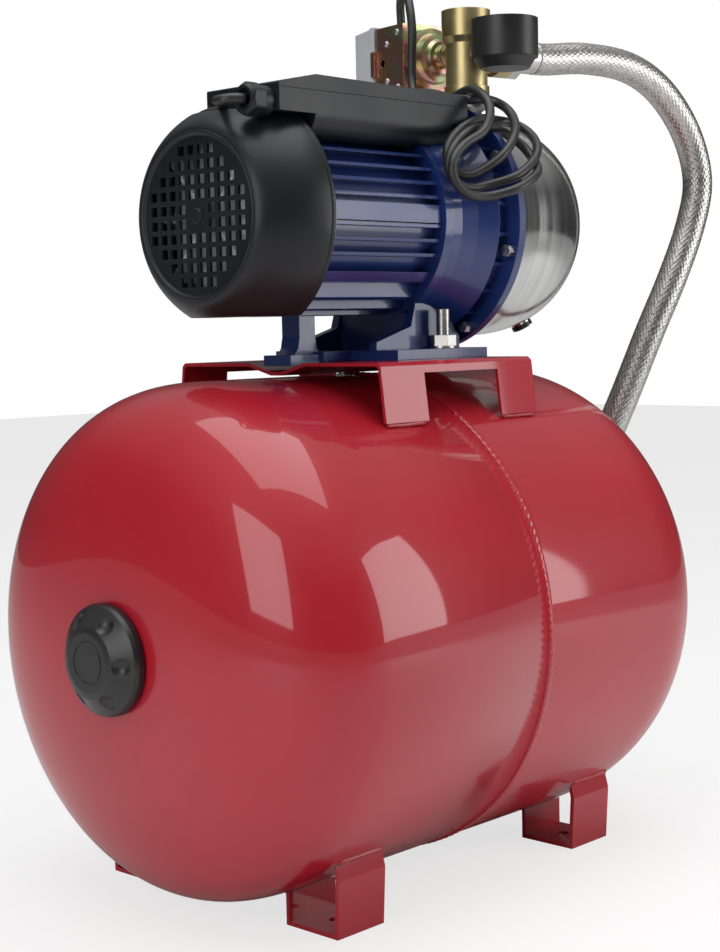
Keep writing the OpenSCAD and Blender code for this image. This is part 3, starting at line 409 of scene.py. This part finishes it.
cap_ring = solid_mesh("air_cap_ring", [
    turned([(13.2, -261.3), (13.5, -261.7), (14.4, -261.7), (14.7, -261.3), (14.7, -260.9), (13.2, -260.9)],
           (0, 0, TANK_Z))])
fitted(cap_ring, black_moulding, "black_plastic", "cap")

# ---------------------------------------------------------------- bracket and motor frame
# Iron bracket and extruded aluminium motor frame, both sprayed glossy navy blue; the casting
# keeps a slightly pebbled skin under the paint.
blue_enamel = surface("blue_enamel", [(0.005, 0.020, 0.115), (0.009, 0.028, 0.150)], 16, (0.28, 0.42),
                      coat=0.5,
                      coat_rough=0.08, relief=0.05, grain=230, edge=0.9)
blue_frame = surface("blue_frame", [(0.006, 0.022, 0.120), (0.010, 0.030, 0.155)], 14, (0.3, 0.42), coat=0.45,
                     coat_rough=0.1, relief=0.02, grain=300, edge=0.6)
dress(blue_enamel, "pump_bracket")
dress(blue_frame, "motor_frame")

# ---------------------------------------------------------------- studs
# Two plated studs with rolled threads, a washer and a hexagon nut each, hold the bracket down.
STUD_X, STUD_Y = 41, 52


def thread(radius, start, end, pitch, depth):
    """A rod whose radius is a triangle wave of its length, one tooth to a pitch."""
    s = np.arange(start, end, pitch / 4)
    r = radius - depth * np.abs(((s - start) / pitch) % 1 - 0.5) * 2
    return [(0, start)] + list(zip(r, s)) + [(radius - depth, end), (0, end)]


stud_profile = thread(5.15, 396, 413, 1.5, 0.75)
studs = solid_mesh("stud_threads", [turned(stud_profile, (STUD_X, side * STUD_Y, 0), (0, 0, 1), 40)
                                    for side in (-1, 1)], 25)
fitted(studs, zinc_plate, "zinc_steel", "pump_set")
dress(zinc_plate, "saddle_bolts", "casing_bolts")

# ---------------------------------------------------------------- inside the motor
# Laminated steel stator and rotor, copper windings, cast end shield, ball bearings, shaft and fan.
laminations = surface("laminations", [(0.30, 0.30, 0.31), (0.42, 0.42, 0.44)], 300, (0.35, 0.5), metal=1.0,
                      relief=0.05, stretch=(8, 0.2, 0.2))
dress(laminations, "stator_core", "rotor_core")
dress(surface("winding_wire", [(0.42, 0.15, 0.06), (0.58, 0.24, 0.10)], 500, (0.25, 0.4), metal=1.0,
              relief=0.2,
              stretch=(0.2, 1, 1)), "stator_windings")
dress(surface("cast_aluminium", [(0.46, 0.47, 0.49), (0.60, 0.61, 0.63)], 60, (0.4, 0.55), metal=1.0,
              relief=0.08),
      "rear_end_shield")
dress(bright_steel, "wave_spring", "bearing_outer_rings", "bearing_balls", "bearing_inner_rings",
      "motor_shaft")
dress(surface("fan_moulding", [(0.78, 0.80, 0.84), (0.86, 0.88, 0.91)], 30, (0.4, 0.55), relief=0.03),
      "cooling_fan")

# ---------------------------------------------------------------- fan cover
# One black moulding: a full rounded shoulder, a raised rim round the face, a flat underneath,
# and a grille of square holes.
AXIS_Z, FACE_X, RIM_X, COVER_FOOT, COVER_HEAD, COVER_WALL = 481.7, -155.5, -103.7, 412.6, 553.0, 2.4
shoulder_turn = np.linspace(0, math.pi / 2, 40)


def shoulder(wall):
    """(radius, x) of the cover's side: a superellipse quarter, squarer than round, wall inside the
    outside."""
    r = 58 - wall + 24.85 * np.cos(shoulder_turn) ** 1.25
    x = RIM_X - 3 - (RIM_X - 3 - FACE_X - wall) * np.sin(shoulder_turn) ** 1.25
    return list(zip(r, x))


cover_skin = [(82.85, RIM_X), (83.6, RIM_X + 0.4), (83.6, RIM_X - 2.2)] + shoulder(0) + [
    (57.6, FACE_X - 0.5), (56.8, FACE_X - 0.7), (56, FACE_X - 0.4), (55.2, FACE_X + 0.8), (54.2,
                                                                                           FACE_X + 1.6),
    (0, FACE_X + 1.6)]
cover_core = [(0, FACE_X + 4), (55, FACE_X + 4)] + shoulder(COVER_WALL)[::-1] + [(80.45, RIM_X)]
cover_points, cover_faces = turned(cover_skin + cover_core, (0, 0, AXIS_Z), count=144)
lowest = np.repeat(np.r_[np.full(len(cover_skin), COVER_FOOT), np.full(len(cover_core),
                                                                       COVER_FOOT + COVER_WALL)], 144)
highest = np.repeat(np.r_[np.full(len(cover_skin), COVER_HEAD), np.full(len(cover_core),
                                                                        COVER_HEAD - COVER_WALL)], 144)
cover_points[:, 2] = np.clip(cover_points[:, 2], lowest, highest)


def blocks(low, high):
    """Boxes from rows of lowest and highest corners, as one part."""
    low, high = np.array(low, float), np.array(high, float)
    pick = np.array([[0, 0, 0], [1, 0, 0], [1, 1, 0], [0, 1, 0], [0, 0, 1], [1, 0, 1], [1, 1, 1], [0, 1, 1]])
    points = np.where(pick[None] > 0, high[:, None], low[:, None]).reshape(-1, 3)
    sides = np.array([[0, 3, 2, 1], [4, 5, 6, 7], [0, 1, 5, 4], [1, 2, 6, 5], [2, 3, 7, 6], [3, 0, 4, 7]])
    return points, (sides[None] + 8 * np.arange(len(low))[:, None, None]).reshape(-1, 4)


hole_corners = []
for row, holes in enumerate((4, 6, 8, 10, 8, 8, 10, 8, 6, 4)):
    for n in range(holes):
        gap = (-10 if n < 4 else 10) if row in (4, 5) else 0
        hole_corners.append((FACE_X - 2, 10 * (n - (holes - 1) / 2) + gap - 3.25,
                             AXIS_Z + 10 * (row - 4.5) - 3.25))
hole_corners = np.array(hole_corners)


def cut(piece, cutter):
    """Takes the cutter away from the piece for good, and deletes the cutter."""
    bite = piece.modifiers.new("bite", "BOOLEAN")
    bite.operation, bite.object, bite.solver = "DIFFERENCE", cutter, "MANIFOLD"
    whole = bpy.context.evaluated_depsgraph_get()
    mesh = bpy.data.meshes.new_from_object(piece.evaluated_get(whole))
    mesh.materials.clear()
    piece.modifiers.clear()
    piece.data = mesh
    mesh.set_sharp_from_angle(angle=math.radians(38))
    bpy.data.objects.remove(cutter)


cover = solid_mesh("fan_cowl", [(cover_points, cover_faces)])
cut(cover, solid_mesh("grille_holes", [blocks(hole_corners, hole_corners + (9, 6.5, 6.5))]))
cowl_moulding = surface("cowl_moulding", [(0.008, 0.009, 0.011), (0.013, 0.014, 0.017)], 14, (0.3, 0.42),
                        relief=0.03, grain=800, edge=0.5, gloss=0.3)
fitted(cover, cowl_moulding, "black_plastic", "pump_set", "fan_cover")
boss = solid_mesh("cowl_boss", [turned([(0, FACE_X + 2), (0, FACE_X + 0.2), (4.6, FACE_X + 0.2), (5.4,
                                                                                                  FACE_X + 1),
                                        (5.4, FACE_X + 2)], (0, 0, AXIS_Z), count=48)])
fitted(boss, cowl_moulding, "black_plastic", "pump_set")

# ---------------------------------------------------------------- terminal box
# A black moulded box and lid over the capacitor and terminals, with a gland for the lead.
dress(cowl_moulding, "terminal_box", "terminal_lid", "cable_gland", "gland_nut")
white_moulding = surface("white_moulding", [(0.68, 0.68, 0.66), (0.76, 0.76, 0.74)], 20, (0.3, 0.42),
                         relief=0.02)
dress(white_moulding, "capacitor", "terminal_block")

# ---------------------------------------------------------------- pump end
# Deep-drawn stainless casing, polished, with fine rings left by the spinning lathe; its wet
# parts are a stainless plate, ceramic seal, brass impeller and moulded diffuser and nozzle.
CASING_R, CASING_STRAIGHT, CASING_DEEP, CASING_WALL, PORT_R = 86.8, 117.0, 93.0, 2.0, 15.15


def casing_skin(wall):
    """(radius, x) of one skin of the casing's domed end, down to its mouth."""
    skin = dome(CASING_R - wall, CASING_DEEP - wall, 64)
    skin = skin[skin[:, 0] > 20]
    return [(r, CASING_STRAIGHT + d) for r, d in skin]


down_hole = np.array([-math.sin(math.radians(-25.6)), 0, -math.cos(math.radians(25.6))])
lean = math.radians(-13.3)
lean_turn = np.array([[1, 0, 0], [0, math.cos(lean), -math.sin(lean)], [0, math.sin(lean), math.cos(lean)]])
drain_place = np.array([0, 0, AXIS_Z]) + lean_turn @ np.array([177, 0, -78.2])
drain_way = lean_turn @ down_hole
casing = solid_mesh("casing_shell", [
    turned([(95.2, 85.3), (95.6, 85.8), (95.6, 87.0), (95.0, 87.6), (90.5, 87.9), (87.6, 89.2), (86.8, 91.5)]
           + casing_skin(0) + [(20, 210), (20, 208)] + casing_skin(CASING_WALL)[::-1] + [(84.8, 85.3)],
           (0, 0, AXIS_Z), count=192),
    turned([(PORT_R, 198), (22, 198), (22, 224), (20.6, 226), (PORT_R, 226)], (0, 0, AXIS_Z), count=96),
    turned([(PORT_R, 565.5), (21, 565.5), (21, 576.4), (20, 577.9), (PORT_R, 577.9)], (136, 0, 0), (0, 0,
                                                                                                    1), 96),
    turned([(5, -3), (8, -3), (8, 1.6), (7.6, 2), (5, 2)], drain_place, drain_way, 48)])
spun_stainless = surface("spun_stainless", [(0.50, 0.50, 0.50), (0.62, 0.62, 0.61)], 120, (0.1, 0.2),
                         metal=1.0,
                         relief=0.006, grain=900, edge=0.3, stretch=(1, 0.03, 0.03))
fitted(casing, spun_stainless, "stainless", "pump_set", "pump_casing")
dress(spun_stainless, "seal_plate")
dress(soft_rubber, "casing_seal", "seal_head")
dress(white_moulding, "seal_seat")
dress(turned_brass, "impeller")
dress(black_moulding, "diffuser", "ejector", "drain_plug")

# ---------------------------------------------------------------- brass manifold
# A five-way casting in dull brass, skimmed where it is threaded, on a copper-coloured nipple.
cast_brass = surface("cast_brass", [(0.36, 0.29, 0.13), (0.46, 0.38, 0.19), (0.52, 0.43, 0.22)], 26, (0.3,
                                                                                                      0.46),
                     metal=1.0, relief=0.06, grain=500, edge=0.6)
dress(cast_brass, "brass_manifold")
dress(surface("nipple_copper", [(0.48, 0.26, 0.13), (0.60, 0.36, 0.19)], 40, (0.28, 0.42), metal=1.0,
              relief=0.03),
      "discharge_nipple")

# ---------------------------------------------------------------- gauge
# A black moulded case, a white dial with marks for 0 to 6 bar, a black needle and a clear lens.
HEAD_X, HEAD_TURN, GAUGE_REACH, DIAL_Z = 136.0, math.radians(10), 46.0, 632.14
dress(black_moulding, "gauge_case", "gauge_pointer")
dress(surface("dial_white", [(0.80, 0.80, 0.78), (0.86, 0.86, 0.84)], 40, (0.4, 0.5), relief=0.01),
      "gauge_dial")


def at_head(points):
    """Points given on the manifold's own axes, turned with it about the discharge line."""
    points = np.asarray(points, float)
    c, s = math.cos(HEAD_TURN), math.sin(HEAD_TURN)
    return np.stack([HEAD_X + points[:, 0] * c + points[:, 1] * s, -points[:, 0] * s + points[:, 1] * c,
                     points[:, 2]], 1)


marks = []
for n in range(31):
    bearing = math.radians(225 - 9 * n)
    wide, deep = (0.45, 4.2) if n % 5 == 0 else (0.22, 2.4)
    out, across = np.array([math.cos(bearing), math.sin(bearing)]), np.array([-math.sin(bearing),
                                                                              math.cos(bearing)])
    flat = [out * 21.5 + across * wide, out * 21.5 - across * wide,
            out * (21.5 - deep) - across * wide, out * (21.5 - deep) + across * wide]
    base = np.array([[p[0], p[1] - GAUGE_REACH, DIAL_Z] for p in flat])
    marks.append((at_head(np.vstack([base, base + (0, 0, 0.12)])),
                  [(0, 1, 2, 3), (7, 6, 5, 4), (0, 4, 5, 1), (1, 5, 6, 2), (2, 6, 7, 3), (3, 7, 4, 0)]))
dial_marks = solid_mesh("dial_marks", marks)
fitted(dial_marks, black_moulding, "black_plastic", "pump_set")
for n in range(7):
    bearing = math.radians(225 - 45 * n)
    letter = bpy.data.curves.new("numeral", "FONT")
    letter.body, letter.size, letter.extrude = str(n), 4.4 * MM, 0.06 * MM
    letter.align_x, letter.align_y = "CENTER", "CENTER"
    writing = bpy.data.objects.new("numeral", letter)
    bpy.context.scene.collection.objects.link(writing)
    bpy.context.view_layer.update()
    shape = bpy.data.meshes.new_from_object(writing.evaluated_get(bpy.context.evaluated_depsgraph_get()))
    bpy.data.objects.remove(writing)
    middle = at_head([(14.6 * math.cos(bearing), 14.6 * math.sin(bearing) - GAUGE_REACH,
                       DIAL_Z + 0.06)])[0] * MM
    shape.transform(Matrix.Translation(Vector(middle)) @ Matrix.Rotation(-HEAD_TURN, 4, "Z"))
    numeral = bpy.data.objects.new(f"dial_numeral_{n}", shape)
    bpy.context.scene.collection.objects.link(numeral)
    numeral.data.materials.clear()
    fitted(numeral, black_moulding, "black_plastic", "pump_set")
clear_lens = surface("clear_lens", [(0.96, 0.97, 0.98), (1, 1, 1)], 10, (0.02, 0.04), relief=0.0, edge=0.1)
clear_lens.node_tree.nodes["Principled BSDF"].inputs["Transmission Weight"].default_value = 1.0
clear_lens.node_tree.nodes["Principled BSDF"].inputs["IOR"].default_value = 1.3
dress(clear_lens, "gauge_lens")

# ---------------------------------------------------------------- pressure switch
# Pressed steel, zinc plated and passivated yellow so that it shifts through gold, pink and
# green, with a grey snap-on cover.
yellow_zinc = surface("yellow_zinc", [(0.42, 0.33, 0.12), (0.62, 0.46, 0.20), (0.60, 0.30, 0.28), (0.34,
                                                                                                   0.44,
                                                                                                   0.22),
                                      (0.64, 0.54, 0.30)], 34, (0.2, 0.34), metal=1.0, relief=0.02, edge=0.6,
                      spread=(0.3, 0.7))
dress(yellow_zinc, "diaphragm_cap", "switch_base", "switch_lever")
grey_moulding = surface("grey_moulding", [(0.44, 0.46, 0.49), (0.50, 0.52, 0.55)], 20, (0.38, 0.5),
                        relief=0.03,
                        grain=700, edge=1.2)
dress(grey_moulding, "switch_cover")
dress(bright_steel, "switch_plunger")


def head_turned(profile, origin, along, count=32):
    """A turned part given on the manifold's own axes."""
    points, faces = turned(profile, origin, along, count)
    return at_head(points), faces


rivet = [(0, 0), (2.6, 0), (2.6, -0.5), (2.2, -1.1), (1.2, -1.5), (0, -1.6)]
fitted(solid_mesh("switch_rivets", [head_turned(rivet, (-26, y, z), (1, 0, 0))
                                    for y, z in ((56, 642), (56, 598), (70, 634), (70, 604))]),
       bright_steel, "zinc_steel", "pump_set")

# ---------------------------------------------------------------- light and floor
# A pale floor and three large soft boxes, as in a product studio. The room's own light is dim near the
# ground and brighter overhead, and the floor and room look near white to the camera itself.
def soft_box(name, place, aim, width, height, power):
    data = bpy.data.lights.new(name, "AREA")
    data.shape = "RECTANGLE"
    data.size, data.size_y, data.energy = width, height, power
    box = bpy.data.objects.new(name, data)
    bpy.context.scene.collection.objects.link(box)
    box.location = place
    box.rotation_euler = (Vector(aim) - Vector(place)).to_track_quat("-Z", "Y").to_euler()


soft_box("light_right", (0.95, -1.25, 0.62), (0, 0, 0.3), 0.7, 0.9, 8)
soft_box("light_left", (-1.7, -0.35, 0.8), (0, 0, 0.3), 0.9, 1.0, 10)
soft_box("light_top", (-0.1, -0.2, 1.9), (0, 0, 0.3), 1.8, 1.4, 22)
world = bpy.data.worlds.new("studio")
bpy.context.scene.world = world
world.use_nodes = True
sky = world.node_tree
way, height, shade = (sky.nodes.new("ShaderNode" + kind) for kind in ("TexCoord", "SeparateXYZ", "ValToRGB"))
lit, seen = sky.nodes["Background"], sky.nodes.new("ShaderNodeBackground")
path, either = sky.nodes.new("ShaderNodeLightPath"), sky.nodes.new("ShaderNodeMixShader")
seen.inputs["Color"].default_value = (1, 1, 1, 1)
for step, (level, grey) in enumerate(((0.0, 0.05), (0.35, 0.09), (0.6, 0.4), (1.0, 0.6))):
    part = shade.color_ramp.elements[step] if step < 2 else shade.color_ramp.elements.new(level)
    part.position, part.color = level, (grey, grey, grey, 1)
for out, into in ((way.outputs["Generated"], height.inputs[0]), (height.outputs["Z"], shade.inputs[0]),
                  (shade.outputs[0], lit.inputs["Color"]), (path.outputs["Is Camera Ray"], either.inputs[0]),
                  (lit.outputs[0], either.inputs[1]), (seen.outputs[0], either.inputs[2]),
                  (either.outputs[0], sky.nodes["World Output"].inputs["Surface"])):
    sky.links.new(out, into)
bpy.ops.mesh.primitive_plane_add(size=12, location=(0, 0, 0))
floor = bpy.context.object
floor.name = "floor"
floor.data.materials.append(surface("floor_white", [(0.86, 0.86, 0.86), (0.88, 0.88, 0.88)], 1, (0.7, 0.8),
                                    relief=0.0))
paper = floor.data.materials[0].node_tree
glow, either, path = (paper.nodes.new("ShaderNode" + kind) for kind in ("Emission", "MixShader", "LightPath"))
part_lit = paper.nodes.new("ShaderNodeMath")
part_lit.operation, part_lit.inputs[1].default_value = "MULTIPLY", 0.72
for out, into in ((path.outputs["Is Camera Ray"], part_lit.inputs[0]), (part_lit.outputs[0],
                                                                        either.inputs[0]),
                  (paper.nodes["Principled BSDF"].outputs[0], either.inputs[1]), (glow.outputs[0],
                                                                                  either.inputs[2]),
                  (either.outputs[0], paper.nodes["Material Output"].inputs["Surface"])):
    paper.links.new(out, into)
bpy.context.scene.view_settings.view_transform = "Standard"
